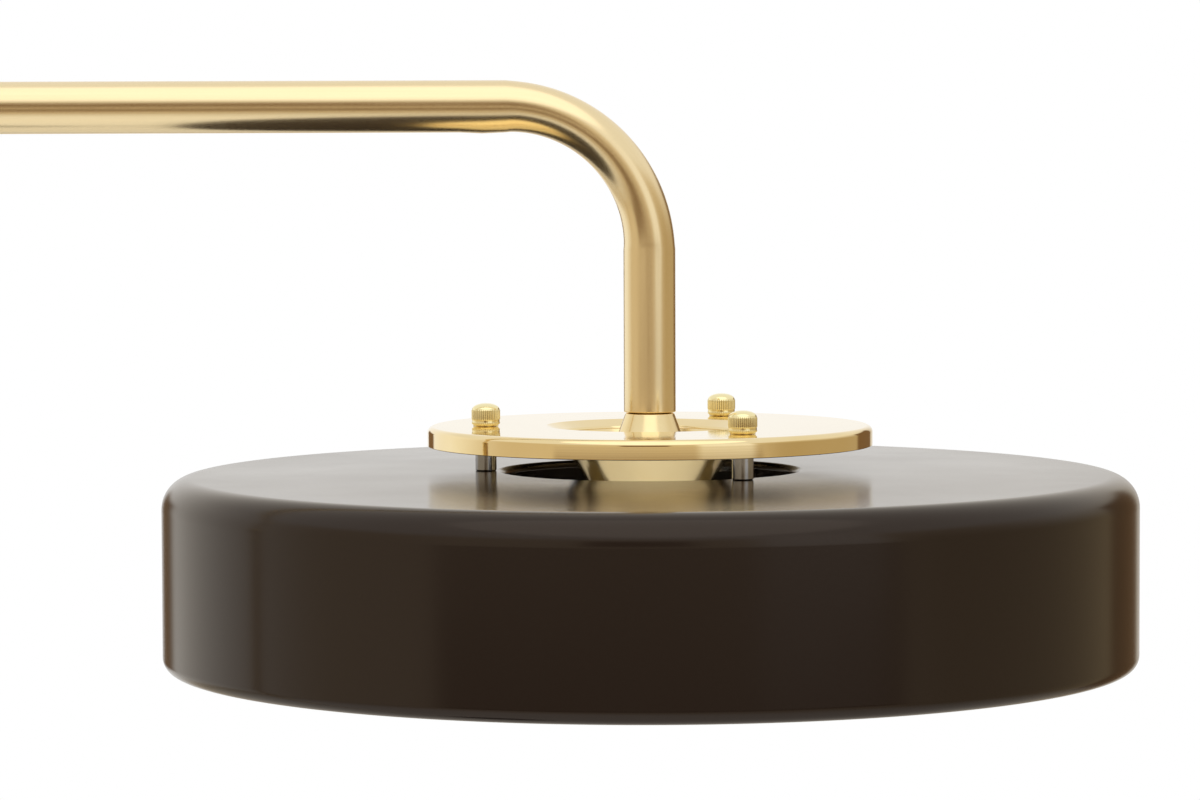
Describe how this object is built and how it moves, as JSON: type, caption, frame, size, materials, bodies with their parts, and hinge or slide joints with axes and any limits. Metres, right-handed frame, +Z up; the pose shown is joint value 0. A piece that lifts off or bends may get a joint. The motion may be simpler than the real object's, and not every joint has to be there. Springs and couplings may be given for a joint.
{
  "type": "swing-arm floor lamp",
  "caption": "Floor lamp with a round weighted base, slim stem and bent swing arm that carries a flat drum shade on a ring with knurled thumb nuts.",
  "frame": {"origin": "on the floor, at the centre of the base's underside, on the stem's axis", "axes": "+Z up along the stem, +X from the stem towards the shade along the arm at rest"},
  "size_m": [0.733, 0.3, 1.4],
  "materials": {
    "brushed_brass": "satin, brushed along the tube",
    "polished_brass": "polished",
    "dark_bronze": "satin powder coat, dark bronze",
    "cast_iron": "as cast",
    "pad_rubber": "matt",
    "steel": "turned",
    "black_plastic": "moulded",
    "white_enamel": "enamel",
    "lampholder_ceramic": "unglazed",
    "lamp_glass": "opal",
    "opal_acrylic": "satin opal",
    "lead_sheath": "smooth"
  },
  "bodies": {
    "stand": {"base_pad": "pad_rubber", "base_weight": "cast_iron", "base_cover": "dark_bronze", "cord_gland": "black_plastic", "base_terminal": "black_plastic", "switch_body": "black_plastic", "switch_nut": "steel", "switch_bezel": "polished_brass", "switch_lead": "lead_sheath", "foot_collar": "brushed_brass", "foot_nipple": "steel", "foot_washer": "steel", "foot_nut": "steel", "stem": "brushed_brass", "stem_lead": "lead_sheath", "swivel_housing": "brushed_brass", "swivel_bush": "polished_brass"},
    "button": {"switch_button": "polished_brass"},
    "arm": {"arm_spigot": "brushed_brass", "swivel_stop_pin": "steel", "swivel_circlip": "steel", "arm_tube": "brushed_brass", "arm_lead": "lead_sheath", "head_collar": "brushed_brass", "head_cone": "brushed_brass", "head_ring": "polished_brass", "head_nipple": "steel", "head_locknut": "steel", "lamp_plate": "white_enamel", "plate_nut": "steel", "head_terminal": "black_plastic", "lampholder_1": "lampholder_ceramic", "lampholder_2": "lampholder_ceramic", "lamp_1": "lamp_glass", "lamp_2": "lamp_glass", "shade": "dark_bronze", "diffuser": "opal_acrylic", "shade_screws": "steel", "shade_spacers": "steel"},
    "nut_1": {"thumb_nut_1": "polished_brass"},
    "nut_2": {"thumb_nut_2": "polished_brass"},
    "nut_3": {"thumb_nut_3": "polished_brass"}
  },
  "joints": [
    {"name": "arm_swing", "type": "hinge", "parent": "stand", "child": "arm", "pos_m": [0, 0, 1.278], "axis": [0, 0, 1], "range_deg": [-165, 165]},
    {"name": "switch_press", "type": "slide", "parent": "stand", "child": "button", "axis": [0, 0, -1], "range_m": [0, 0.003], "stiffness_N_per_m": 800, "springref_m": -0.003},
    {"name": "thumb_nut_1_turn", "type": "hinge", "parent": "arm", "child": "nut_1", "pos_m": [0.3795, 0, 1.2939], "axis": [0, 0, 1], "range_deg": [0, 360]},
    {"name": "thumb_nut_2_turn", "type": "hinge", "parent": "arm", "child": "nut_2", "pos_m": [0.45525, -0.04373, 1.2939], "axis": [0, 0, 1], "range_deg": [0, 360]},
    {"name": "thumb_nut_3_turn", "type": "hinge", "parent": "arm", "child": "nut_3", "pos_m": [0.45525, 0.04373, 1.2939], "axis": [0, 0, 1], "range_deg": [0, 360]}
  ]
}
